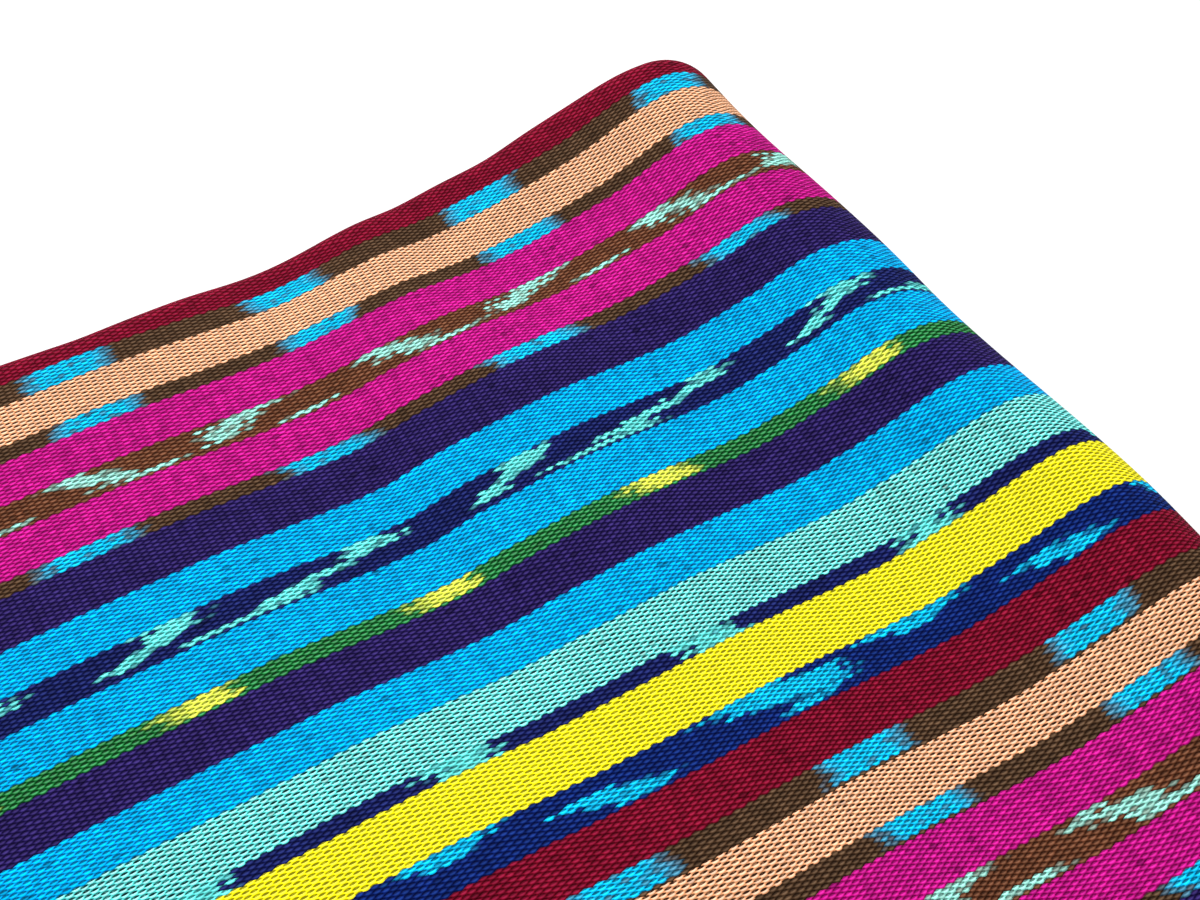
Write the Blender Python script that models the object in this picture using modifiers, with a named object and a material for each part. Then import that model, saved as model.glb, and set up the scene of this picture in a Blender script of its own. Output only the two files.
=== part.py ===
"""A length of striped ikat cotton, doubled along its warp and folded into a pad.

Frame: origin at the bottom centre of the pad, +Z up. The warp runs along X, and the
plump outer fold is at +X. The cloth is doubled at its far edge, +Y. Metres.
"""

import math
from collections import namedtuple

import bmesh
import bpy
from mathutils import Vector

MM = 0.001

SHEET = 1.2 * MM  # one thickness of cloth
DOUBLED_GAP = 0.9 * MM  # air between the two thicknesses of the doubled cloth
EDGE_GAP = 1.6 * MM  # the same where it turns back on itself at the far edge
EDGE_SWELL = 16 * MM  # how far in from that edge the gap widens

# The doubled cloth lies in four passes. Level is its middle height, wave_share says how much
# of the top's unevenness reaches it, far_y and near_y are the two sides of the pass.
Pass = namedtuple("Pass", "level wave_share far_y near_y")
TOP = Pass(17.5 * MM, 1.0, 97.0 * MM, -99.5 * MM)
SECOND = Pass(12.2 * MM, 0.72, 90.5 * MM, -97.0 * MM)
THIRD = Pass(6.9 * MM, 0.32, 92.0 * MM, -98.0 * MM)
BOTTOM = Pass(SHEET + DOUBLED_GAP / 2, 0.0, 94.0 * MM, -98.5 * MM)

# The far edge of the top pass rolls down over the passes below it. It starts to roll on the
# outer fold, and is flat again at the left fold, over the last ROLL_FADE_RUN.
ROLL_RADIUS = 3.5 * MM
ROLL_LENGTH = 4.2 * MM
ROLL_FADE_RUN = 30 * MM

# Ridges and valleys of the top pass, from left to right. Each runs across the warp, so it has
# a place and a height over the pass's level at three stations across the pad.
FAR, MIDDLE, NEAR = 86 * MM, 30 * MM, -30 * MM
FoldLine = namedtuple("FoldLine", "name far_x middle_x near_x far_up middle_up near_up")
FOLD_LINES = (
    FoldLine("left end", -112, -112, -112, 1.6, 1.6, 2.0),
    FoldLine("left swell", -46, -46, -40, 3.6, 3.3, 4.9),
    FoldLine("left shoulder", -28, -24, -12, 3.2, 2.9, 4.8),
    FoldLine("old crease", 8, 8, 14, 0.3, -0.1, 2.5),
    FoldLine("crease wall", 19, 20, 25, 0.8, 2.1, 2.1),
    FoldLine("middle swell", 29, 38, 38, 1.3, 3.3, 2.2),
    FoldLine("slanting valley", 39, 61, 68, 0.3, 1.7, 0.0),
    FoldLine("rise to the fold", 68, 78, 83, 4.2, 4.4, 2.1),
    FoldLine("crest", 90, 91, 101, 10.1, 7.9, 5.9),
)

# The outer fold turns round an ellipse from the crest to the bottom pass.
OUTER_FAR_X, OUTER_MIDDLE_X, OUTER_NEAR_X = 104.0 * MM, 108.6 * MM, 113.5 * MM

# The left fold and the inner fold, which lies inside the outer one: how far each turn reaches
# past its straight passes, and how much it spreads them over the last FOLD_SPREAD_RUN.
LEFT_FOLD_X = -108 * MM
LEFT_REACH = 4.2 * MM
LEFT_SPREAD = 1.3 * MM
INNER_FROM_CREST = -5 * MM
INNER_REACH = 8.5 * MM
INNER_SPREAD = 0.8 * MM
FOLD_SPREAD_RUN = 28 * MM

BOTTOM_END_X = -109 * MM
THIRD_END_X = -105 * MM
END_SKEW = 2.5 * MM  # a cut end is this much out of square from side to side

# Steps of the mesh along the cloth, section by section from one cut end to the other.
SECTION_STEPS = {
    "bottom pass": 5,
    "outer fold": 12,
    "top pass": 24,
    "left fold": 6,
    "second pass": 9,
    "inner fold": 8,
    "third pass": 7,
}
SIDE_STEPS = 11  # from the near side to where the far edge starts to swell or roll
SWELL_STEPS = 2
ROLL_STEPS = 3
TURN_STEPS = 4

CLOTH_COLOUR = (0.02, 0.25, 0.52, 1.0)
CLOTH_ROUGHNESS = 0.85


def mix(a, b, share):
    return a + (b - a) * share


def ease(share):
    """0 to 1 with level ends, and held there outside them."""
    share = min(max(share, 0.0), 1.0)
    return share * share * (3 - 2 * share)


def across(far, middle, near, y):
    """A value given at the three stations across the pad, eased between them."""
    if y > MIDDLE:
        return mix(middle, far, ease((y - MIDDLE) / (FAR - MIDDLE)))
    return mix(near, middle, ease((y - NEAR) / (MIDDLE - NEAR)))


def line_x(line, y):
    return across(line.far_x, line.middle_x, line.near_x, y) * MM


def line_up(line, y):
    return across(line.far_up, line.middle_up, line.near_up, y) * MM


def level_slope(before, here, after):
    """The slope of a smooth curve at its point here, level where it is a peak or a valley."""
    left = (here[1] - before[1]) / (here[0] - before[0])
    right = (after[1] - here[1]) / (after[0] - here[0])
    if left * right <= 0:
        return 0.0
    return 2 * left * right / (left + right)


def wave(x, y):
    """How far the top pass stands over its level at x, y."""
    points = [(line_x(line, y), line_up(line, y)) for line in FOLD_LINES]
    if x <= points[0][0]:
        return points[0][1]
    if x >= points[-1][0]:
        return points[-1][1]
    i = max(k for k in range(len(points) - 1) if points[k][0] <= x)
    (x0, z0), (x1, z1) = points[i], points[i + 1]
    start = 0.0 if i == 0 else level_slope(points[i - 1], points[i], points[i + 1])
    end = 0.0 if i + 2 == len(points) else level_slope(points[i], points[i + 1], points[i + 2])
    run = x1 - x0
    t = (x - x0) / run
    return (
        z0 * (1 + 2 * t) * (1 - t) ** 2
        + start * run * t * (1 - t) ** 2
        + z1 * t * t * (3 - 2 * t)
        + end * run * t * t * (t - 1)
    )


def crest_x(y):
    return line_x(FOLD_LINES[-1], y)


def inner_x(y):
    return crest_x(y) + INNER_FROM_CREST


def left_spread(x):
    return LEFT_SPREAD * ease(1 - (x - LEFT_FOLD_X) / FOLD_SPREAD_RUN)


def inner_spread(x, y):
    return INNER_SPREAD * ease(1 - (inner_x(y) - x) / FOLD_SPREAD_RUN)


def top_height(x, y):
    return TOP.level + wave(x, y) + left_spread(x)


def inner_wave(x, y):
    """The top's unevenness as the passes below take it, with their end under its crest."""
    return wave(x * crest_x(y) / inner_x(y) if x > 0 else x, y)


def second_height(x, y):
    height = SECOND.level + SECOND.wave_share * inner_wave(x, y)
    return height - left_spread(x) + inner_spread(x, y)


def third_height(x, y):
    return THIRD.level + THIRD.wave_share * inner_wave(x, y) - inner_spread(x, y)


def half_turn(start_x, reach, z_from, z_to, share):
    """A point of an elliptic half turn that leaves and meets its two passes level."""
    angle = math.pi * share
    middle = (z_from + z_to) / 2
    return start_x + reach * math.sin(angle), middle + (z_from - middle) * math.cos(angle)


def run_point(section, share, y):
    """x and z of the doubled cloth's middle, at a share of the way along a section."""
    skew = END_SKEW * y / (TOP.far_y - TOP.near_y)
    crest = crest_x(y)
    if section == "bottom pass":
        return mix(BOTTOM_END_X + skew, crest, share), BOTTOM.level
    if section == "outer fold":
        half = SHEET + DOUBLED_GAP / 2
        outer_x = across(OUTER_FAR_X, OUTER_MIDDLE_X, OUTER_NEAR_X, y) - half
        return half_turn(crest, outer_x - crest, BOTTOM.level, top_height(crest, y), share)
    if section == "top pass":
        x = mix(crest, LEFT_FOLD_X, share)
        return x, top_height(x, y)
    if section == "left fold":
        x = LEFT_FOLD_X
        return half_turn(x, -LEFT_REACH, top_height(x, y), second_height(x, y), share)
    if section == "second pass":
        x = mix(LEFT_FOLD_X, inner_x(y), share)
        return x, second_height(x, y)
    if section == "inner fold":
        x = inner_x(y)
        return half_turn(x, INNER_REACH, second_height(x, y), third_height(x, y), share)
    x = mix(inner_x(y), THIRD_END_X - skew, share)
    return x, third_height(x, y)


# The two passes that each section starts and ends as.
SECTION_ENDS = {
    "bottom pass": (BOTTOM, BOTTOM),
    "outer fold": (BOTTOM, TOP),
    "top pass": (TOP, TOP),
    "left fold": (TOP, SECOND),
    "second pass": (SECOND, SECOND),
    "inner fold": (SECOND, THIRD),
    "third pass": (THIRD, THIRD),
}


def side(name, section, share):
    first, last = SECTION_ENDS[section]
    return mix(getattr(first, name), getattr(last, name), ease(share))


def roll_share(section, share):
    if section == "outer fold":
        return ease(share)
    if section == "top pass":
        x = mix(crest_x(TOP.far_y), LEFT_FOLD_X, share)
        return ease((x - LEFT_FOLD_X) / ROLL_FADE_RUN)
    return 0.0


def middle_point(section, share, across_cloth):
    """The middle of the doubled cloth. across_cloth is measured along it, from y = 0."""
    roll = roll_share(section, share)
    rolled = across_cloth - (side("far_y", section, share) - ROLL_LENGTH)
    if rolled <= 0 or roll < 0.01:
        x, z = run_point(section, share, across_cloth)
        return Vector((x, across_cloth, z))
    radius = ROLL_RADIUS / roll
    angle = rolled / radius
    y = across_cloth - rolled + radius * math.sin(angle)
    x, z = run_point(section, share, y)
    ahead = run_point(section, share + 0.01, y)
    behind = run_point(section, share - 0.01, y)
    along = Vector((ahead[0] - behind[0], 0, ahead[1] - behind[1])).normalized()
    inward = Vector((along.z, 0, -along.x)) * -1
    return Vector((x, y, z)) + inward * radius * (1 - math.cos(angle))


def frame_at(section, share, across_cloth):
    """The middle point, the outward normal and the direction across the cloth."""
    step = 0.05 * MM
    here = middle_point(section, share, across_cloth)
    along = middle_point(section, share + 0.004, across_cloth) - middle_point(
        section, share - 0.004, across_cloth
    )
    over = middle_point(section, share, across_cloth + step) - middle_point(
        section, share, across_cloth - step
    )
    over.normalize()
    return here, over.cross(along).normalized(), over


def side_stations(section, share):
    """Places across the doubled cloth, from its near side to its far edge."""
    near = side("near_y", section, share)
    far = side("far_y", section, share)
    swell = far - EDGE_SWELL
    roll = far - ROLL_LENGTH
    stations = [mix(near, swell, i / SIDE_STEPS) for i in range(SIDE_STEPS)]
    stations += [mix(swell, roll, i / SWELL_STEPS) for i in range(SWELL_STEPS)]
    stations += [mix(roll, far, i / ROLL_STEPS) for i in range(ROLL_STEPS + 1)]
    return stations


def cloth_row(section, share):
    """One line of the cloth across its whole width: the outer thickness from its near side to
    the far edge, round the edge, and the inner thickness back."""
    far = side("far_y", section, share)
    outer_offset = (SHEET + DOUBLED_GAP) / 2
    outer, inner = [], []
    for place in side_stations(section, share):
        here, out, _ = frame_at(section, share, place)
        gap = mix(DOUBLED_GAP, EDGE_GAP, ease(1 - (far - place) / EDGE_SWELL))
        outer.append(here + out * outer_offset)
        inner.append(outer[-1] - out * (SHEET + gap))
    _, out, over = frame_at(section, share, far)
    radius = (SHEET + EDGE_GAP) / 2
    centre = (outer[-1] + inner[-1]) / 2
    turn = [
        centre + (out * math.cos(angle) + over * math.sin(angle)) * radius
        for angle in (math.pi * i / TURN_STEPS for i in range(1, TURN_STEPS))
    ]
    return outer + turn + inner[::-1]


def cloth_rows():
    rows = []
    for section, steps in SECTION_STEPS.items():
        first = 0 if not rows else 1
        rows += [cloth_row(section, i / steps) for i in range(first, steps + 1)]
    return rows


def make_cloth(collection):
    rows = cloth_rows()
    cloth = bmesh.new()
    grid = [[cloth.verts.new(point) for point in row] for row in rows]
    for row, after in zip(grid, grid[1:]):
        for i in range(len(row) - 1):
            cloth.faces.new((row[i], row[i + 1], after[i + 1], after[i]))
    mesh = bpy.data.meshes.new("ikat_cloth")
    cloth.to_mesh(mesh)
    cloth.free()
    mesh.shade_smooth()
    thing = bpy.data.objects.new("ikat_cloth", mesh)
    collection.objects.link(thing)
    solid = thing.modifiers.new("sheet thickness", "SOLIDIFY")
    solid.thickness = SHEET
    solid.offset = 0.0
    solid.use_even_offset = True
    return thing


def cloth_material():
    material = bpy.data.materials.new("striped_cotton")
    material.use_nodes = True
    shader = material.node_tree.nodes["Principled BSDF"]
    shader.inputs["Base Color"].default_value = CLOTH_COLOUR
    shader.inputs["Roughness"].default_value = CLOTH_ROUGHNESS
    shader.inputs["Metallic"].default_value = 0.0
    return material


def stand_on_origin(thing):
    """Moves the mesh so that the solid's box stands centred on the origin."""
    bpy.context.view_layer.update()
    solid = thing.evaluated_get(bpy.context.evaluated_depsgraph_get())
    corners = [Vector(corner) for corner in solid.bound_box]
    low = [min(corner[i] for corner in corners) for i in range(3)]
    high = [max(corner[i] for corner in corners) for i in range(3)]
    shift = Vector((-(low[0] + high[0]) / 2, -(low[1] + high[1]) / 2, -low[2]))
    for vertex in thing.data.vertices:
        vertex.co += shift


def main():
    for thing in list(bpy.data.objects):
        bpy.data.objects.remove(thing)
    collection = bpy.data.collections.new("ikat_fabric")
    bpy.context.scene.collection.children.link(collection)
    cloth = make_cloth(collection)
    cloth.data.materials.append(cloth_material())
    stand_on_origin(cloth)


main()
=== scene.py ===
# %% [markdown]
# # A length of striped ikat cotton, folded into a pad
#
# The cloth is hand-woven, with thick warp threads that hide the weft almost wholly. Before
# weaving, some warp threads were tied in bundles and dyed, so that their stripes carry soft
# marks of a second colour. The length is doubled along its warp and then folded in four
# passes. The photograph is a close look at the top pass and at the plump fold on its right.
#
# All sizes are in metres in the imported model's own frame: the warp runs along X, the doubled
# edge is at +Y, and +Z is up. Sizes in millimetres are written as a number times MM.

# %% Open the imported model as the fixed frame
import math
from collections import namedtuple

import bpy
import numpy as np
from mathutils import Matrix, Vector


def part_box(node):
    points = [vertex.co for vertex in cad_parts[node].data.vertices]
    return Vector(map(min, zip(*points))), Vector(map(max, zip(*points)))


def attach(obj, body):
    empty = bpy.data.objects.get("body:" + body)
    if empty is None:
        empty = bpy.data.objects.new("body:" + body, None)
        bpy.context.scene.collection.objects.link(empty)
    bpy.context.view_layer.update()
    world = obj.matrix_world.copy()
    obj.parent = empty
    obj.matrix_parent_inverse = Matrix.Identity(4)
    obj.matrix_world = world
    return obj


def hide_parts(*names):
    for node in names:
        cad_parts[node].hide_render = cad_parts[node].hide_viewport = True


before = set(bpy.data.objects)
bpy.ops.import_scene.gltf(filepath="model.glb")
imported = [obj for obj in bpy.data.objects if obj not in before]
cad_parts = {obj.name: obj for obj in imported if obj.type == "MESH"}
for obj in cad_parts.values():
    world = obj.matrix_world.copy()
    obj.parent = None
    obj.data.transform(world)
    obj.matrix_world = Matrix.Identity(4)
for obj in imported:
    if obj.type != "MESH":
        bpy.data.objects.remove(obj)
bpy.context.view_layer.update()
MM = 0.001

# %% [markdown]
# ## How the length is folded
#
# The doubled cloth runs through seven sections, from one cut end to the other: the bottom
# pass, the plump outer fold, the top pass, the left fold, the second pass, the inner fold
# inside the outer one, and the third pass. These sizes are the ones that the solid was made
# with, so that the cloth lies where its solid does.
#
# The top is not flat. An old crease, a swell on each side of it and a rise to the outer fold
# cross the pad. Each is a line with a place and a height at three stations: far, middle and
# near. A smooth curve joins them along the warp, and an eased step joins them across it.

# %% Sizes of the folded length
SHEET = 1.2 * MM
DOUBLED_GAP, EDGE_GAP, EDGE_SWELL = 0.9 * MM, 1.6 * MM, 16 * MM
CLOTH = 0.9 * MM  # the real cloth, whose outer face lies where the solid's does

Pass = namedtuple("Pass", "level wave_share far_y near_y")
TOP = Pass(17.5 * MM, 1.0, 97.0 * MM, -99.5 * MM)
SECOND = Pass(12.2 * MM, 0.72, 90.5 * MM, -97.0 * MM)
THIRD = Pass(6.9 * MM, 0.32, 92.0 * MM, -98.0 * MM)
BOTTOM = Pass(SHEET + DOUBLED_GAP / 2, 0.0, 94.0 * MM, -98.5 * MM)

ROLL_RADIUS, ROLL_LENGTH, ROLL_FADE_RUN = 3.5 * MM, 4.2 * MM, 30 * MM
FAR, MIDDLE, NEAR = 86 * MM, 30 * MM, -30 * MM
FoldLine = namedtuple("FoldLine", "name far_x middle_x near_x far_up middle_up near_up")
FOLD_LINES = (
    FoldLine("left end", -112, -112, -112, 1.6, 1.6, 2.0),
    FoldLine("left swell", -46, -46, -40, 3.6, 3.3, 4.9),
    FoldLine("left shoulder", -28, -24, -12, 3.2, 2.9, 4.8),
    FoldLine("old crease", 8, 8, 14, 0.3, -0.1, 2.5),
    FoldLine("crease wall", 19, 20, 25, 0.8, 2.1, 2.1),
    FoldLine("middle swell", 29, 38, 38, 1.3, 3.3, 2.2),
    FoldLine("slanting valley", 39, 61, 68, 0.3, 1.7, 0.0),
    FoldLine("rise to the fold", 68, 78, 83, 4.2, 4.4, 2.1),
    FoldLine("crest", 90, 91, 101, 10.1, 7.9, 5.9),
)
OUTER_FAR_X, OUTER_MIDDLE_X, OUTER_NEAR_X = 104.0 * MM, 108.6 * MM, 113.5 * MM
LEFT_FOLD_X, LEFT_REACH, LEFT_SPREAD = -108 * MM, 4.2 * MM, 1.3 * MM
INNER_FROM_CREST, INNER_REACH, INNER_SPREAD = -5 * MM, 8.5 * MM, 0.8 * MM
FOLD_SPREAD_RUN = 28 * MM
BOTTOM_END_X, THIRD_END_X, END_SKEW = -109 * MM, -105 * MM, 2.5 * MM
CENTRED_BY = Vector((0.18 * MM, 0.22 * MM, 0.0))  # the solid was moved by this to stand centred
print("fold lines:", ", ".join(line.name for line in FOLD_LINES))


# %% The height of the top pass
def mix(a, b, share):
    return a + (b - a) * share


def ease(share):
    share = np.clip(share, 0.0, 1.0)
    return share * share * (3 - 2 * share)


def across(far, middle, near, y):
    beyond = mix(middle, far, ease((y - MIDDLE) / (FAR - MIDDLE)))
    before = mix(near, middle, ease((y - NEAR) / (MIDDLE - NEAR)))
    return np.where(y > MIDDLE, beyond, before)


def wave(x, y):
    """How far the top pass stands over its level, for arrays of places."""
    x, y = np.broadcast_arrays(np.asarray(x, float), np.asarray(y, float))
    at = np.array([across(l.far_x, l.middle_x, l.near_x, y) for l in FOLD_LINES]) * MM
    up = np.array([across(l.far_up, l.middle_up, l.near_up, y) for l in FOLD_LINES]) * MM
    steep = np.diff(up, axis=0) / np.diff(at, axis=0)
    left, right = steep[:-1], steep[1:]
    total = np.where(left * right > 0, left + right, 1.0)
    inner = np.where(left * right > 0, 2 * left * right / total, 0.0)
    slope = np.concatenate([0 * steep[:1], inner, 0 * steep[:1]])
    i = np.clip((x[None] >= at).sum(0) - 1, 0, len(FOLD_LINES) - 2)[None]
    x0, x1 = np.take_along_axis(at, i, 0)[0], np.take_along_axis(at, i + 1, 0)[0]
    z0, z1 = np.take_along_axis(up, i, 0)[0], np.take_along_axis(up, i + 1, 0)[0]
    s0, s1 = np.take_along_axis(slope, i, 0)[0], np.take_along_axis(slope, i + 1, 0)[0]
    run = x1 - x0
    t = np.clip((x - x0) / run, 0, 1)
    return (
        z0 * (1 + 2 * t) * (1 - t) ** 2 + s0 * run * t * (1 - t) ** 2
        + z1 * t * t * (3 - 2 * t) + s1 * run * t * t * (t - 1)
    )


print("crest over the old crease, mm:", round(1000 * float(wave(0.09, FAR) - wave(0.008, FAR)), 1))

# %% [markdown]
# Limp cloth is never as smooth as three stations make it. A few small soft swells and dips,
# each with a middle, a reach each way and a height, are added to the top. The doubled edge
# wanders too: the table says how far it lies in from its straight line, place by place.

# %% Small swells and the wandering edge
Swell = namedtuple("Swell", "name x y reach_x reach_y up")
SWELLS = (
    Swell("kink in the doubled edge", 13, 92, 9, 7, -2.0),
    Swell("top of the middle swell", 54, 49, 18, 9, 1.5),
    Swell("hollow behind that swell", 66, 73, 18, 8, -0.9),
    Swell("dip on the left", -16, 58, 14, 10, -0.4),
    Swell("low place at the left", -40, 2, 24, 14, -0.8),
    Swell("soft swell near the viewer", 30, -60, 30, 18, 0.9),
)
EDGE_IN = (
    (-112, 0.4), (-95, 1.0), (-80, 0.2), (-65, 0.9), (-50, 0.3), (-23, 2.3), (-3, 0.7), (10, 0.4),
    (30, 1.0), (47, -0.4), (57, 0.2), (70, -1.0), (91, 1.2),
)


def small_swells(x, y):
    total = 0.0 * x * y
    for swell in SWELLS:
        away = ((x / MM - swell.x) / swell.reach_x) ** 2 + ((y / MM - swell.y) / swell.reach_y) ** 2
        total = total + swell.up * MM * np.exp(-away / 2)
    return total


def edge_in(x):
    """The wander of the doubled edge at x, softened over a few millimetres."""
    places, values = zip(*EDGE_IN)
    near = x / MM + np.linspace(-5, 5, 11)
    return float(np.average(np.interp(near, places, values), weights=np.hanning(13)[1:-1])) * MM


print("edge lies in by, mm:", round(1000 * edge_in(-20 * MM), 1), "to", round(1000 * edge_in(70 * MM), 1))


# %% Where each section of the doubled cloth runs
def crest_x(y):
    crest = FOLD_LINES[-1]
    return across(crest.far_x, crest.middle_x, crest.near_x, y) * MM


def inner_x(y):
    return crest_x(y) + INNER_FROM_CREST


def left_spread(x):
    return LEFT_SPREAD * ease(1 - (x - LEFT_FOLD_X) / FOLD_SPREAD_RUN)


def inner_spread(x, y):
    return INNER_SPREAD * ease(1 - (inner_x(y) - x) / FOLD_SPREAD_RUN)


def top_height(x, y):
    return TOP.level + wave(x, y) + small_swells(x, y) + left_spread(x)


def inner_wave(x, y):
    return wave(np.where(x > 0, x * crest_x(y) / inner_x(y), x), y) + small_swells(x, y)


def second_height(x, y):
    height = SECOND.level + SECOND.wave_share * inner_wave(x, y)
    return height - left_spread(x) + inner_spread(x, y)


def third_height(x, y):
    return THIRD.level + THIRD.wave_share * inner_wave(x, y) - inner_spread(x, y)


def half_turn(start_x, reach, z_from, z_to, share):
    angle, middle = math.pi * share, (z_from + z_to) / 2
    return start_x + reach * math.sin(angle), middle + (z_from - middle) * math.cos(angle)


def run_point(section, share, y):
    """x and z of the doubled cloth's middle, at a share of the way along a section."""
    skew = END_SKEW * y / (TOP.far_y - TOP.near_y)
    crest, start = crest_x(y), LEFT_FOLD_X + 0 * y
    if section == "bottom pass":
        return mix(BOTTOM_END_X + skew, crest, share), BOTTOM.level + 0 * y
    if section == "outer fold":
        outer_x = across(OUTER_FAR_X, OUTER_MIDDLE_X, OUTER_NEAR_X, y) - SHEET - DOUBLED_GAP / 2
        return half_turn(crest, outer_x - crest, BOTTOM.level, top_height(crest, y), share)
    if section == "top pass":
        x = mix(crest, LEFT_FOLD_X, share)
        return x, top_height(x, y)
    if section == "left fold":
        return half_turn(start, -LEFT_REACH, top_height(start, y), second_height(start, y), share)
    if section == "second pass":
        x = mix(LEFT_FOLD_X, inner_x(y), share)
        return x, second_height(x, y)
    x = inner_x(y)
    if section == "inner fold":
        return half_turn(x, INNER_REACH, second_height(x, y), third_height(x, y), share)
    x = mix(x, THIRD_END_X - skew, share)
    return x, third_height(x, y)


SECTION_ENDS = {
    "bottom pass": (BOTTOM, BOTTOM), "outer fold": (BOTTOM, TOP), "top pass": (TOP, TOP),
    "left fold": (TOP, SECOND), "second pass": (SECOND, SECOND),
    "inner fold": (SECOND, THIRD), "third pass": (THIRD, THIRD),
}
print("sections:", ", ".join(SECTION_ENDS))

# %% [markdown]
# ## The cloth's surface
#
# A cloth simulation would drape the length well, but it would not land on these very folds.
# So the cloth is lofted: one row of points after another, each row crossing the cloth from
# its near side to the doubled edge, round that edge and back underneath. The far edge of the
# top rolls down softly. Solidify then gives the sheet its thickness.


# %% Points across the cloth
def side(name, section, share):
    first, last = SECTION_ENDS[section]
    straight = mix(getattr(first, name), getattr(last, name), ease(share))
    if name == "near_y" or section not in ("outer fold", "top pass", "left fold"):
        return straight
    start, end = {"outer fold": (0.0, 1.0), "top pass": (1.0, 1.0), "left fold": (1.0, 0.0)}[section]
    x = {"outer fold": crest_x(FAR), "left fold": LEFT_FOLD_X}.get(
        section, mix(crest_x(FAR), LEFT_FOLD_X, share))
    return straight - mix(start, end, ease(share)) * edge_in(float(x))


def roll_share(section, share):
    if section == "outer fold":
        return ease(share)
    if section == "top pass":
        x = mix(crest_x(TOP.far_y), LEFT_FOLD_X, share)
        return ease((x - LEFT_FOLD_X) / ROLL_FADE_RUN)
    return 0.0


def middle_points(section, share, place):
    """Points on the doubled cloth's middle. place is measured across the cloth itself."""
    roll = float(roll_share(section, share))
    if roll < 0.01:
        x, z = run_point(section, share, place)
        return np.stack([x, place, z], -1)
    rolled = np.maximum(place - (side("far_y", section, share) - ROLL_LENGTH), 0.0)
    radius = ROLL_RADIUS / roll
    y = place - rolled + radius * np.sin(rolled / radius)
    x, z = run_point(section, share, y)
    ahead, behind = run_point(section, share + 0.01, y), run_point(section, share - 0.01, y)
    along_x, along_z = ahead[0] - behind[0], ahead[1] - behind[1]
    length = np.hypot(along_x, along_z)
    inward = np.stack([-along_z / length, 0 * y, along_x / length], -1)
    return np.stack([x, y, z], -1) + inward * (radius * (1 - np.cos(rolled / radius)))[:, None]


def unit(vectors):
    return vectors / np.linalg.norm(vectors, axis=-1, keepdims=True)


def faces_out(section, share, place):
    """Middle points, the directions out of the cloth, and the directions across it."""
    step = 0.05 * MM
    along = middle_points(section, share + 0.004, place) - middle_points(section, share - 0.004, place)
    over = middle_points(section, share, place + step) - middle_points(section, share, place - step)
    over = unit(over)
    return middle_points(section, share, place), unit(np.cross(over, along)), over


print("roll of the far edge, degrees:", round(math.degrees(ROLL_LENGTH / ROLL_RADIUS)))

# %% One row of the cloth, and all its rows
STEPS_ALONG = {
    "bottom pass": 18, "outer fold": 34, "top pass": 116, "left fold": 14,
    "second pass": 22, "inner fold": 16, "third pass": 16,
}
STEPS_TO_SWELL, STEPS_OF_SWELL, STEPS_OF_ROLL, STEPS_OF_TURN = 76, 8, 8, 8
UNDER_EVERY = 3  # the hidden thickness has one point for so many of the outer one's
STRIPES_FROM = 89.4 * MM  # the place, counted across the cloth, where the stripe chart starts


def cloth_row(section, share):
    """Points of one row, and how far across the cloth each of them is from the chart's start."""
    near, far = side("near_y", section, share), side("far_y", section, share)
    swell, roll = far - EDGE_SWELL, far - ROLL_LENGTH
    place = np.concatenate([
        np.linspace(near, swell, STEPS_TO_SWELL + 1)[:-1],
        np.linspace(swell, roll, STEPS_OF_SWELL + 1)[:-1],
        np.linspace(roll, far, STEPS_OF_ROLL + 1),
    ])
    here, out, over = faces_out(section, share, place)
    outer = here + out * (SHEET + DOUBLED_GAP / 2 - CLOTH / 2)
    gap = mix(DOUBLED_GAP, EDGE_GAP, ease(1 - (far - place) / EDGE_SWELL))
    inner = outer - out * (2 * SHEET + gap - CLOTH)[:, None]
    radius = np.linalg.norm(outer[-1] - inner[-1]) / 2
    centre = (outer[-1] + inner[-1]) / 2
    turn_at = math.pi * np.arange(1, STEPS_OF_TURN) / STEPS_OF_TURN
    turn = centre + radius * (
        np.cos(turn_at)[:, None] * out[-1] + np.sin(turn_at)[:, None] * over[-1]
    )
    kept = list(range(0, len(place) - 1, UNDER_EVERY)) + [len(place) - 1]
    places = np.concatenate([
        place, far + radius * turn_at, far + math.pi * radius + far - place[kept][::-1],
    ])
    partner = list(range(len(place))) + [len(place) - 1] * len(turn_at) + kept[::-1]
    return np.concatenate([outer, turn, inner[kept][::-1]]), STRIPES_FROM - places, partner


def cloth_rows():
    points, acrosses = [], []
    for section, steps in STEPS_ALONG.items():
        for i in range(0 if not points else 1, steps + 1):
            row, chart_v, partner = cloth_row(section, i / steps)
            points.append(row)
            acrosses.append(chart_v)
    return np.array(points), np.array(acrosses), np.array(partner)


points, thread_v, partner = cloth_rows()
print("rows:", points.shape[0], "points in a row:", points.shape[1])

# %% [markdown]
# ## Where each thread is
#
# The stripes and the weave belong to the cloth and not to the room, so each point also needs
# its place on the cloth when it lay flat: u along the warp, and v across it. They are kept in
# a UV map called threads, in metres. u is the length walked along the outer thickness, counted
# from the old crease, and the inner thickness takes the u of the one that it lies under.

# %% Lay the threads on the points
CREASE_X, CREASE_U = 8 * MM, -80 * MM
steps = np.linalg.norm(np.diff(points[:, :, [0, 2]], axis=0), axis=2)
walked = np.concatenate([np.zeros((1, steps.shape[1])), np.cumsum(steps, axis=0)])
top_from = STEPS_ALONG["bottom pass"] + STEPS_ALONG["outer fold"]
top_to = top_from + STEPS_ALONG["top pass"] + 1
at_crease = np.array([
    np.interp(-CREASE_X, -points[top_from:top_to, j, 0], walked[top_from:top_to, j])
    for j in range(points.shape[1])
])
thread_u = CREASE_U + (at_crease[None] - walked)
thread_u = thread_u[:, partner]
print("cloth along its warp, mm:", round(1000 * float(np.ptp(thread_u[:, 20]))))


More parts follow.
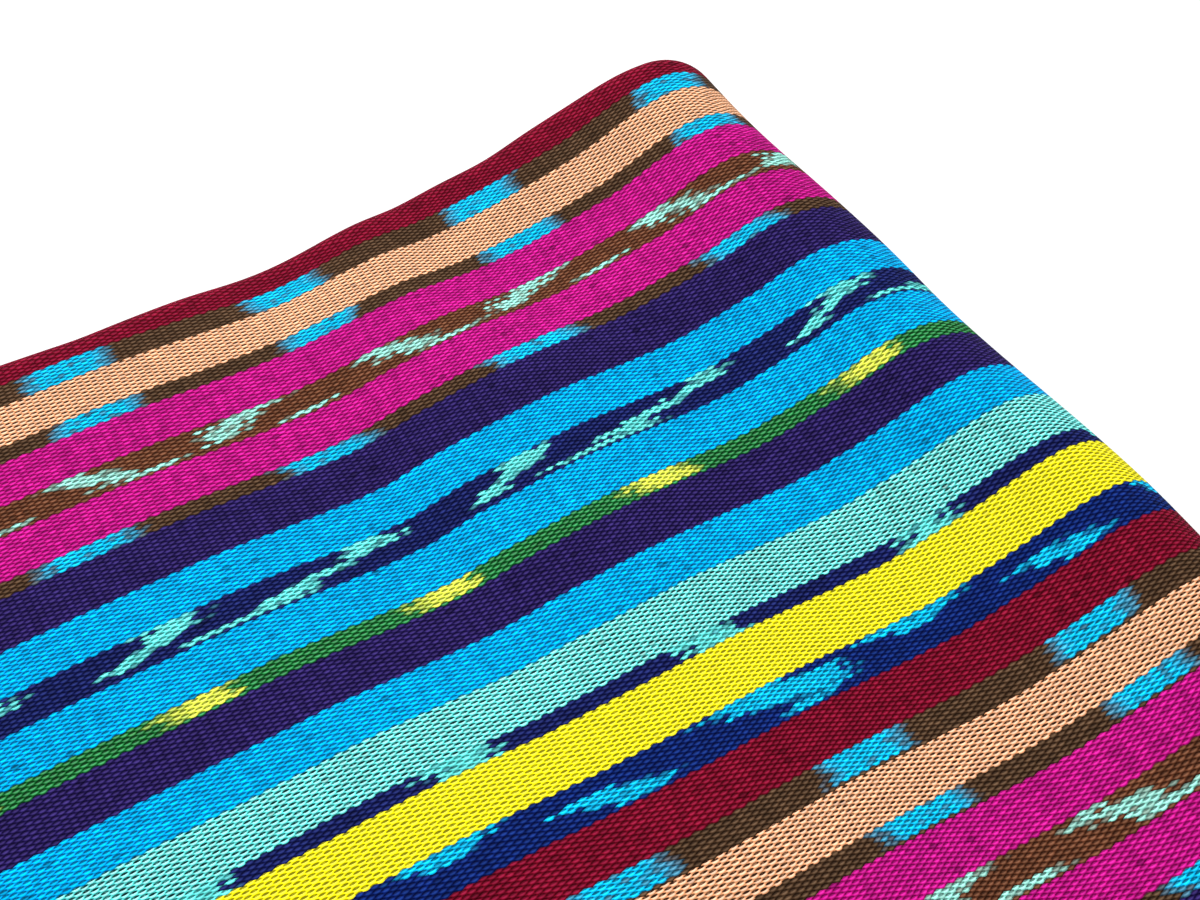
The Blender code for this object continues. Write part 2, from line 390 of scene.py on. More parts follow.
# %% Build the sheet
def build_cloth():
    rows, columns = points.shape[:2]
    index = np.arange(rows * columns).reshape(rows, columns)
    quads = np.stack([index[:-1, :-1], index[:-1, 1:], index[1:, 1:], index[1:, :-1]], -1)
    mesh = bpy.data.meshes.new("ikat_length")
    mesh.from_pydata((points.reshape(-1, 3)).tolist(), [], quads.reshape(-1, 4).tolist())
    uv = mesh.uv_layers.new(name="threads")
    corners = quads.reshape(-1)
    flat = np.stack([thread_u.reshape(-1)[corners], thread_v.reshape(-1)[corners]], -1)
    uv.uv.foreach_set("vector", flat.astype(np.float32).ravel())
    mesh.shade_smooth()
    piece = bpy.data.objects.new("ikat_length", mesh)
    bpy.context.scene.collection.objects.link(piece)
    thick = piece.modifiers.new("cloth thickness", "SOLIDIFY")
    thick.thickness, thick.offset, thick.use_even_offset = CLOTH, 0.0, True
    return piece


def settle_modifiers(piece):
    """Keeps the shape that the modifiers give, with hard edges only round the cloth's rim."""
    bpy.context.view_layer.update()
    seen = piece.evaluated_get(bpy.context.evaluated_depsgraph_get())
    mesh = bpy.data.meshes.new_from_object(seen)
    piece.modifiers.clear()
    piece.data = mesh
    mesh.shade_smooth()
    mesh.set_sharp_from_angle(angle=math.radians(60))


def stand_on_frame(piece):
    """Centres the cloth as its solid was centred, and sets it on the ground."""
    lowest = min(v.co.z for v in piece.data.vertices)
    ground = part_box("ikat_cloth")[0][2]
    piece.data.transform(Matrix.Translation(CENTRED_BY + Vector((0, 0, ground - lowest))))
    return ground - lowest


cloth = build_cloth()
settle_modifiers(cloth)
raised = stand_on_frame(cloth)
print("raised by, mm:", round(1000 * raised, 3), "faces:", len(cloth.data.polygons))

# %% [markdown]
# ## The camera
#
# The picture looks down at about 52 degrees, a little from the left, and is tilted by four
# degrees. The place of the camera was worked out from the straight stripes and from the
# weave's own count, which grows smaller towards the far edge. It was found in the folded
# length's own measure, so it moves with the length. A camera in Blender looks along its own
# -Z with +Y up, so its three directions are written as a matrix.

# %% Set the camera
CAMERA_PLACE = Vector((-0.0408, -0.1370, 0.2552)) + CENTRED_BY
CAMERA_TURN, CAMERA_DOWN, CAMERA_TILT = math.radians(26.7), math.radians(52.1), math.radians(-4.1)
CAMERA_LENS = 55.65


def set_camera():
    ahead = Vector((
        math.cos(CAMERA_DOWN) * math.sin(CAMERA_TURN),
        math.cos(CAMERA_DOWN) * math.cos(CAMERA_TURN),
        -math.sin(CAMERA_DOWN),
    ))
    level_right = Vector((math.cos(CAMERA_TURN), -math.sin(CAMERA_TURN), 0))
    down = -level_right.cross(ahead)
    right = level_right * math.cos(CAMERA_TILT) - down * math.sin(CAMERA_TILT)
    down = level_right * math.sin(CAMERA_TILT) + down * math.cos(CAMERA_TILT)
    data = bpy.data.cameras.new("photo_camera")
    data.lens, data.sensor_width, data.sensor_fit = CAMERA_LENS, 36, "HORIZONTAL"
    data.clip_start = 0.01
    camera = bpy.data.objects.new("photo_camera", data)
    bpy.context.scene.collection.objects.link(camera)
    turn = Matrix((right, -down, -ahead)).transposed().to_4x4()
    camera.matrix_world = Matrix.Translation(CAMERA_PLACE) @ turn
    bpy.context.scene.camera = camera
    return camera


set_camera()
print("camera at, mm:", [round(1000 * c) for c in CAMERA_PLACE])

# %% [markdown]
# ## Small helpers for shader nodes
#
# A material in Blender is a net of nodes. These helpers add one node and give back its output,
# so that the steps below read like short sums. An effect with named inputs and outputs is a
# node group: it is built once, and each use has its own values.


# %% Helpers that add one node each
def feed(tree, socket, value):
    if isinstance(value, bpy.types.NodeSocket):
        tree.links.new(value, socket)
    else:
        socket.default_value = value


def number(tree, operation, *values, clamp=False):
    node = tree.nodes.new("ShaderNodeMath")
    node.operation, node.use_clamp = operation, clamp
    for socket, value in zip(node.inputs, values):
        feed(tree, socket, value)
    return node.outputs[0]


def vector(tree, operation, *values):
    node = tree.nodes.new("ShaderNodeVectorMath")
    node.operation = operation
    for socket, value in zip(node.inputs, values):
        feed(tree, socket, value)
    return node.outputs["Value" if operation in ("DOT_PRODUCT", "LENGTH") else "Vector"]


def joined(tree, x, y, z=0.0):
    node = tree.nodes.new("ShaderNodeCombineXYZ")
    for socket, value in zip(node.inputs, (x, y, z)):
        feed(tree, socket, value)
    return node.outputs[0]


def parted(tree, value):
    node = tree.nodes.new("ShaderNodeSeparateXYZ")
    feed(tree, node.inputs[0], value)
    return node.outputs


def ramped(tree, value, low, high, to_low=0.0, to_high=1.0, smooth=True):
    node = tree.nodes.new("ShaderNodeMapRange")
    node.interpolation_type = "SMOOTHSTEP" if smooth else "LINEAR"
    for name, given in (("Value", value), ("From Min", low), ("From Max", high),
                        ("To Min", to_low), ("To Max", to_high)):
        feed(tree, node.inputs[name], given)
    return node.outputs["Result"]


def blended(tree, share, first, second, kind="MIX"):
    """Two colours mixed by a share, in one of Blender's blend kinds."""
    node = tree.nodes.new("ShaderNodeMix")
    node.data_type, node.blend_type = "RGBA", kind
    feed(tree, node.inputs["Factor"], share)
    feed(tree, node.inputs[6], first)
    feed(tree, node.inputs[7], second)
    return node.outputs[2]


def speckle(tree, value, dimensions="1D"):
    node = tree.nodes.new("ShaderNodeTexWhiteNoise")
    node.noise_dimensions = dimensions
    feed(tree, node.inputs["W" if dimensions == "1D" else "Vector"], value)
    return node.outputs["Value"]


def clouds(tree, place, scale=1.0, detail=2.0):
    node = tree.nodes.new("ShaderNodeTexNoise")
    feed(tree, node.inputs["Vector"], place)
    node.inputs["Scale"].default_value = scale
    node.inputs["Detail"].default_value = detail
    return node.outputs[0]


def streaks(tree, along, across_cloth, along_scale, across_scale, detail=2.0):
    """Noise that is drawn out one way, by its own scale along the cloth and across it."""
    return clouds(tree, joined(tree, number(tree, "MULTIPLY", along, along_scale),
                               number(tree, "MULTIPLY", across_cloth, across_scale)), 1.0, detail)


def deepened(tree, colour, gamma):
    node = tree.nodes.new("ShaderNodeGamma")
    feed(tree, node.inputs["Color"], colour)
    feed(tree, node.inputs["Gamma"], gamma)
    return node.outputs["Color"]


def new_group(name, inputs, outputs):
    """A shader node group with these named number inputs, as name: value, and outputs."""
    group = bpy.data.node_groups.new(name, "ShaderNodeTree")
    for label, value in inputs.items():
        socket = group.interface.new_socket(label, in_out="INPUT", socket_type="NodeSocketFloat")
        socket.default_value = value
    for label in outputs:
        group.interface.new_socket(label, in_out="OUTPUT", socket_type="NodeSocketFloat")
    start, end = group.nodes.new("NodeGroupInput"), group.nodes.new("NodeGroupOutput")
    return group, start.outputs, end.inputs


def use_group(tree, group, **values):
    """Places a group. Its inputs are named with _ for each space."""
    node = tree.nodes.new("ShaderNodeGroup")
    node.node_tree = group
    for label, value in values.items():
        feed(tree, node.inputs[label.replace("_", " ")], value)
    return node.outputs


print("helpers ready")

# %% [markdown]
# ## The weave
#
# In this warp-faced plain weave each warp thread passes over one weft and under the next, and
# its neighbours do the opposite. What is seen is a plump float at each crossing where a thread
# is on top, in brick order, and a small dark gap below each float, where the weft peeps out
# and where painted shadow falls between the floats.
#
# The group counts in picks along the cloth and in ends across it. Floats stand on the even
# crossings and on the odd ones. It finds the nearest of each, takes the one that stands higher
# here, and gives its middle. A float then takes its colour at its middle alone, so that stripe
# borders step from float to float, as on the real cloth. Where the picks were beaten closer,
# Beat adds to their count. It also gives the mask of a painted highlight on each float's crown,
# set towards its far side, where the lamp falls, and the mask of the gap with its painted
# shadow, set towards the near side.

# %% Group: threads crossing in plain weave
PICK, END = 1.05, 0.4116  # millimetres from one pick to the next, and from one end to the next
EVERY_SECOND = (2.0, 2.0, 1.0)
# Where each float's painted highlight and its gap with painted shadow sit, and how large they are, in
# picks and ends
CROWN_SHIFT, CROWN_SCALE = (0.0, 0.15, 0.0), (1 / 0.58, 1 / 0.78, 0.0)
GAP_SHIFT, GAP_SCALE = (0.0, 0.30, 0.0), (1 / 0.58, 1 / 0.48, 0.0)
CROWN_FADES, GAP_FADES = (1.10, 0.35), (1.02, 0.76)  # from none to full, on the scaled distance
ROUNDNESS = 0.6  # the power of a float's height, which makes it plump
GAP_STRENGTH = (0.32, 0.56, 0.74, 1.0)  # from these noise values to these shares


def count_threads(group, given, place):
    """The place in picks and ends, with the small wander of hand weaving."""
    count = joined(group, number(group, "DIVIDE", given["Along"], given["Pick"]),
                   number(group, "DIVIDE", given["Across"], given["End"]))
    drift = number(group, "SUBTRACT", clouds(group, place, 0.22, 2.0), 0.5)
    drift = number(group, "MULTIPLY", drift, given["Wander"])
    return vector(group, "ADD", count, joined(
        group, number(group, "ADD", drift, given["Beat"]), number(group, "MULTIPLY", drift, 2.0)))


def highest_float(group, given, count):
    """The middle of the float that stands highest here, and how high it stands."""
    even = vector(group, "SNAP", vector(group, "ADD", count, (1.0, 1.0, 0.5)), EVERY_SECOND)
    odd = vector(group, "ADD", vector(group, "SNAP", count, EVERY_SECOND), (1.0, 1.0, 0.0))
    size = joined(group, number(group, "DIVIDE", 1.0, given["Float Length"]),
                  number(group, "DIVIDE", 1.0, given["Float Width"]))

    def stand(middle):
        away = vector(group, "MULTIPLY", vector(group, "SUBTRACT", count, middle), size)
        return number(group, "SUBTRACT", 1.0, vector(group, "DOT_PRODUCT", away, away))

    even_up, odd_up = stand(even), stand(odd)
    odd_wins = number(group, "GREATER_THAN", odd_up, even_up)
    middle = vector(group, "ADD", even, vector(
        group, "MULTIPLY", vector(group, "SUBTRACT", odd, even), joined(group, odd_wins, odd_wins)))
    height = number(group, "MAXIMUM", number(group, "MAXIMUM", even_up, odd_up), 0.0)
    return middle, number(group, "POWER", height, ROUNDNESS)


def weft_and_shadow_gap(group, count, place):
    """How much of the weft and of the painted shadow below a float shows here, which is more in some
    places than in others.
    """
    low = vector(group, "SUBTRACT", count, GAP_SHIFT)
    first = vector(group, "ADD", vector(
        group, "SNAP", vector(group, "ADD", low, (0.0, 1.0, 0.5)), EVERY_SECOND), (1.0, 0.0, 0.0))
    second = vector(group, "ADD", vector(
        group, "SNAP", vector(group, "ADD", low, (1.0, 0.0, 0.5)), EVERY_SECOND), (0.0, 1.0, 0.0))
    away = [
        vector(group, "LENGTH", vector(
            group, "MULTIPLY", vector(group, "SUBTRACT", low, middle), GAP_SCALE))
        for middle in (first, second)
    ]
    gap = ramped(group, number(group, "MINIMUM", *away), *GAP_FADES)
    strong = ramped(group, clouds(group, place, 1.4, 1.0), *GAP_STRENGTH)
    return number(group, "MULTIPLY", gap, strong)


def build_weave_group():
    group, given, out = new_group(
        "plain weave floats",
        {"Along": 0.0, "Across": 0.0, "Beat": 0.0, "Pick": PICK, "End": END,
         "Float Length": 1.12, "Float Width": 1.06, "Wander": 0.42},
        ["Height", "Crown", "Gap", "Float Along", "Float Across", "Float Tone"],
    )
    place = joined(group, given["Along"], given["Across"])
    count = count_threads(group, given, place)
    middle, height = highest_float(group, given, count)
    off = vector(group, "SUBTRACT", count, middle)
    # Crown is the mask of a painted highlight, set towards the far side of each float
    lit = vector(group, "MULTIPLY", vector(group, "ADD", off, CROWN_SHIFT), CROWN_SCALE)
    back = number(group, "MULTIPLY", parted(group, off)[0], given["Pick"])
    feed(group, out["Height"], height)
    feed(group, out["Crown"], ramped(group, vector(group, "LENGTH", lit), *CROWN_FADES))
    feed(group, out["Gap"], weft_and_shadow_gap(group, count, place))
    feed(group, out["Float Along"], number(group, "SUBTRACT", given["Along"], back))
    feed(group, out["Float Across"], number(group, "MULTIPLY", parted(group, middle)[1], given["End"]))
    feed(group, out["Float Tone"], speckle(group, middle, "2D"))
    return group


WEAVE = build_weave_group()
print("weave group nodes:", len(WEAVE.nodes))

# %% [markdown]
# ## The stripe chart
#
# The stripes repeat every 128.1 mm across the cloth. The chart gives, from the far side to the
# near side, where each stripe starts and its dye, and the dye that its ties show. Two color
# ramps hold it: one for the ground and one for the ties. Dyes are written as screen colours
# from 0 to 255, and turned into Blender's linear ones.


# %% Dyes and stripes
def dye(red, green, blue, openness=0.6):
    def linear(c):
        c /= 255
        return c / 12.92 if c <= 0.04045 else ((c + 0.055) / 1.055) ** 2.4
    return (linear(red), linear(green), linear(blue), openness)


DARK, PEACH, MAGENTA = dye(76, 54, 37), dye(248, 176, 126, 1.0), dye(196, 20, 131, 0.6)
BROWN, PURPLE, BLUE = dye(100, 58, 38), dye(38, 26, 86, 0.5), dye(0, 177, 250, 0.7)
NAVY, GREEN, MINT = dye(20, 28, 86, 0.5), dye(22, 122, 56, 0.8), dye(100, 236, 231, 1.0)
YELLOW, ROYAL, WINE = dye(255, 244, 0, 0.82), dye(10, 32, 102, 0.5), dye(119, 10, 36, 0.5)
TIE_BLUE, TIE_MINT, TIE_LIME = dye(10, 196, 252), dye(160, 240, 224), dye(240, 250, 84)

Stripe = namedtuple("Stripe", "start ground ties")
REPEAT = 128.1
STRIPES = (
    Stripe(0.4, DARK, TIE_BLUE), Stripe(4.7, PEACH, PEACH), Stripe(12.8, DARK, TIE_BLUE),
    Stripe(16.1, MAGENTA, MAGENTA), Stripe(24.3, BROWN, TIE_MINT), Stripe(30.0, MAGENTA, MAGENTA),
    Stripe(38.3, DARK, TIE_BLUE), Stripe(41.4, PURPLE, PURPLE), Stripe(50.4, BLUE, BLUE),
    Stripe(58.4, NAVY, MINT), Stripe(64.2, BLUE, BLUE), Stripe(72.3, GREEN, TIE_LIME),
    Stripe(75.5, PURPLE, PURPLE), Stripe(84.2, BLUE, BLUE), Stripe(92.1, MINT, MINT),
    Stripe(101.4, NAVY, MINT), Stripe(104.3, YELLOW, YELLOW), Stripe(113.6, ROYAL, TIE_BLUE),
    Stripe(120.1, WINE, WINE),
)


def set_stops(node, kind, stops):
    """Gives a color ramp these (position, colour) stops."""
    ramp = node.color_ramp
    ramp.interpolation = kind
    ramp.elements.remove(ramp.elements[1])
    ramp.elements[0].position, ramp.elements[0].color = stops[0]
    for position, colour in stops[1:]:
        ramp.elements.new(position).color = colour


def stripe_ramp(tree, share, colours):
    """A color ramp with one hard-edged stop a stripe."""
    node = tree.nodes.new("ShaderNodeValToRGB")
    starts = [(stripe.start - STRIPES[0].start) / REPEAT for stripe in STRIPES]
    set_stops(node, "CONSTANT", list(zip(starts, colours)))
    feed(tree, node.inputs[0], share)
    return node.outputs["Color"], node.outputs["Alpha"]


print("stripes in a repeat:", len(STRIPES))

# %% [markdown]
# ## The tied threads
#
# Before weaving, bundles of warp threads were tied and dyed, and the ties kept the dye out. The
# narrow stripes have one bundle each, tied about every 40 mm. The brown, navy and royal ones
# have five, tied in steps, which give the jagged figures. The chart gives one repeat of each
# stripe: its length, the place of its start, and bundle by bundle from the far side, where each
# tie starts and ends, all in millimetres along the warp.
#
# The repeats aren't quite even, because ties were bound by hand. Dye creeps under a tie, so a
# mark fades in and out. Threads slip a little against their neighbours on the loom, no two
# floats take the dye quite alike, and some threads of a bundle stay half dyed.

# %% Chart of the tied threads
Tied = namedtuple("Tied", "start end repeat first fade_in fade_out slip bundles")
TIED = {
    "far dark": Tied(0.4, 4.7, 39.7, -125, 4.0, 4.5, 0.9, (((3.7, 16.2),),)),
    "near dark": Tied(12.8, 16.1, 39.8, -125, 4.5, 4.0, 0.9, (((4.6, 17.0),),)),
    "brown": Tied(24.3, 30.0, 54.5, -129, 2.6, 2.6, 3.6, (
        ((2, 8), (32, 42)), ((3, 10.5), (30, 38.5)), ((6, 13), (27.5, 36)),
        ((9.5, 14.5), (28, 34)), ((13, 22), (42, 51)),
    )),
    "middle dark": Tied(38.3, 41.4, 40.2, -137, 5.0, 5.5, 1.2, (((4, 17.8),), ((5.5, 19.2),))),
    "navy": Tied(58.4, 64.2, 61.4, -131, 1.8, 1.8, 4.0, (
        ((6.5, 15.5), (40, 47)), ((6.5, 14), (38, 49)), ((4, 11), (31, 40.5)),
        ((2, 8), (26, 34.5)), ((12.5, 31),),
    )),
    "green": Tied(72.3, 75.5, 39.2, -132, 7.0, 2.6, 2.6, (((6.5, 16.5),), ((8.5, 17.7),))),
    "narrow navy": Tied(101.4, 104.3, 40.2, -142, 1.6, 1.6, 2.8, (((4.5, 13.6),), ((6.5, 15.4),))),
    "royal": Tied(113.6, 120.1, 78.0, -111, 2.2, 2.2, 3.0, (
        ((3, 18), (52, 66)), ((7, 14), (54, 73)), ((27, 37), (59, 74)),
        ((31.5, 41), (66, 75)), ((34.5, 42.5), (63.5, 71.5)),
    )),
}
print("tied stripes:", ", ".join(TIED))


# %% A color ramp for one bundle's ties
def bundle_ramp(tree, turn, tied, ties):
    node = tree.nodes.new("ShaderNodeValToRGB")
    stops = [(0.0, 0.0)]
    for start, end in ties:
        stops += [(start - tied.fade_in / 2, 0.0), (start + tied.fade_in / 2, 1.0),
                  (end - tied.fade_out / 2, 1.0), (end + tied.fade_out / 2, 0.0)]
    set_stops(node, "LINEAR", [(place / tied.repeat, (v, v, v, 1.0)) for place, v in stops])
    feed(tree, node.inputs[0], turn)
    return node.outputs["Color"]


# %% Group: how much of the tie's colour a thread has
# From these random values of threads and of floats to these shares of the tie's colour
HALF_DYED_THREADS, HALF_DYED_FLOATS = (0.0, 0.25, 0.84, 1.0), (0.0, 0.18, 0.40, 1.0)


def build_tied_group():
    group, given, out = new_group(
        "tied threads",
        {"Along": 0.0, "Across": 0.0, "Thread": 0.0, "Float": 0.0, "Uneven": 6.0},
        ["Share"],
    )
    by_hand = streaks(group, given["Along"], given["Across"], 0.03, 0.2, 1.0)
    by_hand = number(group, "SUBTRACT", by_hand, 0.5)
    along = number(group, "MULTIPLY_ADD", by_hand, given["Uneven"], given["Along"])
    slip = number(group, "SUBTRACT", number(group, "ADD", given["Thread"], given["Float"]), 1.0)
    total = 0.0
    for tied in TIED.values():
        moved = number(group, "MULTIPLY_ADD", slip, tied.slip, along)
        turn = number(group, "DIVIDE", number(group, "SUBTRACT", moved, tied.first), tied.repeat)
        turn = number(group, "FRACT", turn)
        width = (tied.end - tied.start) / len(tied.bundles)
        for i, ties in enumerate(tied.bundles):
            middle = tied.start + width * (i + 0.5)
            here = number(group, "COMPARE", given["Across"], middle, width / 2)
            total = number(group, "MULTIPLY_ADD", here, bundle_ramp(group, turn, tied, ties), total)
    takes = number(group, "MULTIPLY", ramped(group, given["Thread"], *HALF_DYED_THREADS),
                   ramped(group, given["Float"], *HALF_DYED_FLOATS))
    feed(group, out["Share"], number(group, "MULTIPLY", total, takes))
    return group


TIED_THREADS = build_tied_group()
print("tied group nodes:", len(TIED_THREADS.nodes))

# %% [markdown]
# ## The cotton's finish
#
# The material joins all this: the place on the cloth, the weave, the stripe's dye and the tied
# dye. Then come the things that keep it from looking printed. Threads and floats differ a
# little in tone, a few floats are dark slubs, and faint bars cross the warp where picks were
# beaten harder. Each float also gets painted shade on its sides and a painted highlight on its crown.
#
# A gap is painted shadow: a very dark tone of its own float's colour, with some of the real dark
# weft in it. Gaps show most in the pale stripes, so each ground dye's fourth value says how open
# its stripe is; it also sets how strong the painted shade and highlights are. Deep dyes get softer
# painted shade on their floats than pale ones, and yellow and lime take the least painted shade. The
# shader itself is rough and hardly shines, and the floats' height goes into a Bump node.

# %% The finish in numbers
# The real weft's dark colour, the white of the painted highlight on the floats' crowns, and the painted
# shadow in the gaps: a deepened, darkened tone of the float's own colour with a share of the weft
WEFT_DARK, PAINTED_HIGHLIGHT_WHITE = dye(20, 12, 14), (1.0, 1.0, 0.95, 1.0)
GAP_SHADE, GAP_GAMMA, WEFT_SHARE = (0.045, 0.045, 0.045, 1.0), 1.5, 0.3
OPEN_IN_MARKS = 0.8  # how open the gaps are in a tied mark
MARK_EDGES = (0.08, 0.92)  # smaller shares of the tie's colour count as none, larger ones as all
BEAT_START, BEAT_LENGTH = -146.0, 158.0
BEATEN_CLOSE, MORE_PICKS = (0.525, 0.753), 6.5  # a share of the beat's length, and picks
NEXT_REPEAT_OFF = 6.0  # millimetres that each repeat's marks stand off those of the one before

# Tones, from the least to the most
GRAIN_TONE, BAR_TONE, FLOAT_TONE = (0.86, 1.12), (0.86, 1.10), (0.82, 1.14)
SLUB_SHARE, SLUB_TONE = 0.014, 0.55

# Painted shade on a float's sides and painted highlight on its crown, by tone and gamma. Each pair goes
# from a closed stripe to an open one
SIDE_TO_CROWN, CLOSED_TO_OPEN = (0.05, 1.0), (0.55, 0.9)
SIDE_TONE, CROWN_TONE, SIDE_GAMMA = (0.70, 0.53), (1.34, 1.52), (1.18, 1.32)
CROWN_GAMMA = 0.80  # the same for all stripes
# The painted highlight: a share of white on the crowns that grows with the stripe's openness
PAINTED_HIGHLIGHT_SHARES = (0.72, 1.0, 0.0, 0.24)  # from these values of openness to these shares of white

# The relief: shares of a float's height, and the height itself
FIBRE_RELIEF, GAP_RELIEF, GLOWING_RELIEF, RELIEF_HEIGHT = 0.15, 0.35, 0.3, 0.28 * MM


# %% Place, beat and dye of a thread
def thread_place(tree):
    """How far along the cloth a place lies, and how far across it, in millimetres."""
    uv = tree.nodes.new("ShaderNodeUVMap")
    uv.uv_map = "threads"
    flat = parted(tree, vector(tree, "MULTIPLY", uv.outputs["UV"], (1000.0, 1000.0, 0.0)))
    return flat["X"], flat["Y"]


def beaten_picks(tree, along):
    """Picks to add to the count. It rises where they were beaten close, and falls slowly elsewhere."""
    turn = number(tree, "DIVIDE", number(tree, "SUBTRACT", along, BEAT_START), BEAT_LENGTH)
    turn = number(tree, "FRACT", turn)
    beat = number(tree, "SUBTRACT", ramped(tree, turn, *BEATEN_CLOSE), turn)
    return number(tree, "MULTIPLY", beat, MORE_PICKS)


def thread_dye(tree, weave, row):
    """A float's dye, how open the gaps of its stripe are, and how far the float is a tied one."""
    from_start = number(tree, "SUBTRACT", weave["Float Across"], STRIPES[0].start)
    turns = number(tree, "DIVIDE", from_start, REPEAT)
    repeat = number(tree, "FLOOR", turns)
    share = number(tree, "SUBTRACT", turns, repeat)
    tied = use_group(
        tree, TIED_THREADS, Thread=speckle(tree, row), Float=weave["Float Tone"],
        Across=number(tree, "MULTIPLY_ADD", share, REPEAT, STRIPES[0].start),
        Along=number(tree, "MULTIPLY_ADD", repeat, NEXT_REPEAT_OFF, weave["Float Along"]),
    )["Share"]
    tied = ramped(tree, tied, *MARK_EDGES, smooth=False)
    ground, open_gaps = stripe_ramp(tree, share, [stripe.ground for stripe in STRIPES])
    ties, _ = stripe_ramp(tree, share, [stripe.ties for stripe in STRIPES])
    return blended(tree, tied, ground, ties), open_gaps, tied


# %% Uneven yarn, lit floats, gaps and relief
def yarn_tone(tree, along, across_cloth, weave, row):
    """The tone of uneven yarn: its grain, the bars of beaten picks, single floats and slubs."""
    grain = streaks(tree, along, row, 0.05, 1.0)
    bars = streaks(tree, along, across_cloth, 0.9, 0.11, 3.0)
    tone = ramped(tree, grain, 0.25, 0.75, *GRAIN_TONE)
    for another in (
        ramped(tree, bars, 0.3, 0.7, *BAR_TONE),
        ramped(tree, weave["Float Tone"], 0.0, 1.0, *FLOAT_TONE),
        ramped(tree, weave["Float Tone"], 0.0, SLUB_SHARE, SLUB_TONE, 1.0),
    ):
        tone = number(tree, "MULTIPLY", tone, another)
    return tone


def own_glow(tree, colour):
    """High for dyes that have much red and green in them, such as yellow and lime. It is the share of the
    painted float shade that these dyes skip, and it lessens their relief.
    """
    dyed = parted(tree, colour)
    both = number(tree, "MULTIPLY", dyed["X"], dyed["Y"])
    return number(tree, "MULTIPLY", both, 0.75, clamp=True)


def lit_floats(tree, colour, tone, glow, weave, open_gaps):
    """Floats with painted shade on their sides and painted highlights on their crowns."""
    low = number(tree, "MULTIPLY", weave["Height"], 0.4)
    light = number(tree, "MULTIPLY_ADD", weave["Crown"], 0.6, low)
    side, crown, side_gamma = [
        ramped(tree, open_gaps, *CLOSED_TO_OPEN, *ends) for ends in (SIDE_TONE, CROWN_TONE, SIDE_GAMMA)
    ]
    tone = number(tree, "MULTIPLY", tone, ramped(tree, light, *SIDE_TO_CROWN, side, crown, smooth=False))
    gamma = ramped(tree, light, *SIDE_TO_CROWN, side_gamma, CROWN_GAMMA, smooth=False)
    shaded = blended(
        tree, 1.0, deepened(tree, colour, gamma), joined(tree, tone, tone, tone), "MULTIPLY")
    lit = blended(tree, glow, shaded, colour)
    # A painted highlight: a share of white on each float's crown
    pale = number(tree, "MULTIPLY", weave["Crown"], ramped(tree, open_gaps, *PAINTED_HIGHLIGHT_SHARES))
    return blended(tree, pale, lit, PAINTED_HIGHLIGHT_WHITE)


def weft_and_shadow_in_gaps(tree, colour, weave, open_gaps, tied):
    # Painted shadow below each float: a deep, dark tone of the float's own colour, with some of the real
    # dark weft mixed in
    deep = blended(tree, 1.0, deepened(tree, colour, GAP_GAMMA), GAP_SHADE, "MULTIPLY")
    deep = blended(tree, WEFT_SHARE, deep, WEFT_DARK)
    open_gaps = number(tree, "MAXIMUM", open_gaps, number(tree, "MULTIPLY", tied, OPEN_IN_MARKS))
    return blended(tree, number(tree, "MULTIPLY", weave["Gap"], open_gaps), colour, deep)


def thread_relief(tree, along, across_cloth, glow, weave):
    """The bump of floats, fine fibres and hollow gaps, which is less in yellow and lime."""
    fibres = streaks(tree, along, across_cloth, 2.5, 11.0)
    relief = number(tree, "MULTIPLY_ADD", fibres, FIBRE_RELIEF, weave["Height"])
    relief = number(tree, "SUBTRACT", relief, number(tree, "MULTIPLY", weave["Gap"], GAP_RELIEF))
    kept = ramped(tree, glow, 0.0, 1.0, 1.0, GLOWING_RELIEF, smooth=False)
    relief = number(tree, "MULTIPLY", relief, kept)
    bump = tree.nodes.new("ShaderNodeBump")
    bump.inputs["Strength"].default_value = 1.0
    bump.inputs["Distance"].default_value = RELIEF_HEIGHT
    feed(tree, bump.inputs["Height"], relief)
    return bump.outputs["Normal"]


# %% The ikat cotton material
def ikat_cotton():
    material = bpy.data.materials.new("ikat_cotton")
    material.use_nodes = True
    tree = material.node_tree
    shader = tree.nodes["Principled BSDF"]
    along, across_cloth = thread_place(tree)
    beat = beaten_picks(tree, along)
    weave = use_group(tree, WEAVE, Along=along, Across=across_cloth, Beat=beat)
    row = number(tree, "DIVIDE", weave["Float Across"], END)
    dyed, open_gaps, tied = thread_dye(tree, weave, row)
    tone = yarn_tone(tree, along, across_cloth, weave, row)
    glow = own_glow(tree, dyed)
    colour = lit_floats(tree, dyed, tone, glow, weave, open_gaps)
    colour = weft_and_shadow_in_gaps(tree, colour, weave, open_gaps, tied)
    feed(tree, shader.inputs["Base Color"], colour)
    feed(tree, shader.inputs["Roughness"], ramped(tree, weave["Height"], 0.0, 1.0, 0.95, 0.80))
    shader.inputs["Specular IOR Level"].default_value = 0.03
    feed(tree, shader.inputs["Normal"], thread_relief(tree, along, across_cloth, glow, weave))
    return material


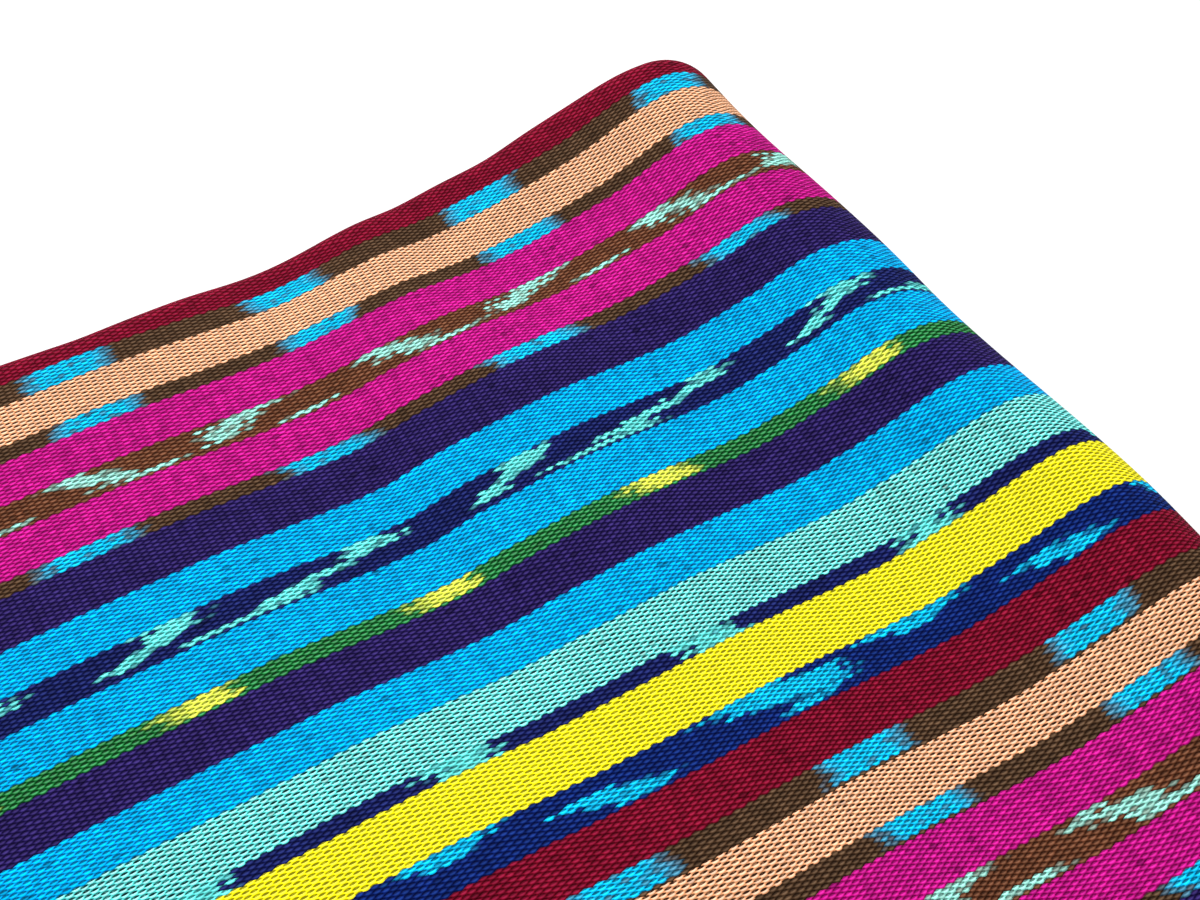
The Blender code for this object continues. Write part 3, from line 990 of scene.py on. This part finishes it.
cotton = ikat_cotton()
cloth.data.materials.clear()
cloth.data.materials.append(cotton)
print("material nodes:", len(cotton.node_tree.nodes))

# %% [markdown]
# ## Floor and light
#
# The cloth was photographed on plain white in soft, bright light, with hardly a shadow. A wide
# white floor, a pale surround and two large soft lamps give that. The stronger lamp stands
# behind the cloth, because the far side of each float is its bright side.


# %% Floor, lamps and surround
def plain_floor():
    mesh = bpy.data.meshes.new("floor")
    mesh.from_pydata([(-4, -4, 0), (4, -4, 0), (4, 4, 0), (-4, 4, 0)], [], [(0, 1, 2, 3)])
    floor = bpy.data.objects.new("floor", mesh)
    bpy.context.scene.collection.objects.link(floor)
    white = bpy.data.materials.new("white_floor")
    white.use_nodes = True
    shader = white.node_tree.nodes["Principled BSDF"]
    shader.inputs["Base Color"].default_value = (0.92, 0.92, 0.92, 1.0)
    shader.inputs["Roughness"].default_value = 0.9
    shader.inputs["Specular IOR Level"].default_value = 0.1
    mesh.materials.append(white)
    return floor


def soft_lamp(name, place, size, power):
    data = bpy.data.lights.new(name, "AREA")
    data.shape, data.size, data.energy = "DISK", size, power
    lamp = bpy.data.objects.new(name, data)
    bpy.context.scene.collection.objects.link(lamp)
    aim = (Vector((0, 0, 0)) - Vector(place)).to_track_quat("-Z", "Y")
    lamp.matrix_world = Matrix.Translation(place) @ aim.to_matrix().to_4x4()
    return lamp


plain_floor()
soft_lamp("far_lamp", place=(0.15, 0.95, 1.05), size=0.7, power=22.0)
soft_lamp("near_lamp", place=(-0.6, -0.5, 1.2), size=1.2, power=4.0)
world = bpy.data.worlds.new("pale_surround")
world.use_nodes = True
world.node_tree.nodes["Background"].inputs["Color"].default_value = (1.0, 1.0, 1.0, 1.0)
world.node_tree.nodes["Background"].inputs["Strength"].default_value = 0.35
bpy.context.scene.world = world
bpy.context.scene.view_settings.view_transform = "Standard"
print("lamps and floor ready")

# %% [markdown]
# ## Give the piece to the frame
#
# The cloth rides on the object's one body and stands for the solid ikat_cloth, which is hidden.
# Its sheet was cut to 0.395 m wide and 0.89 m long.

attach(cloth, "root")
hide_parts("ikat_cloth")
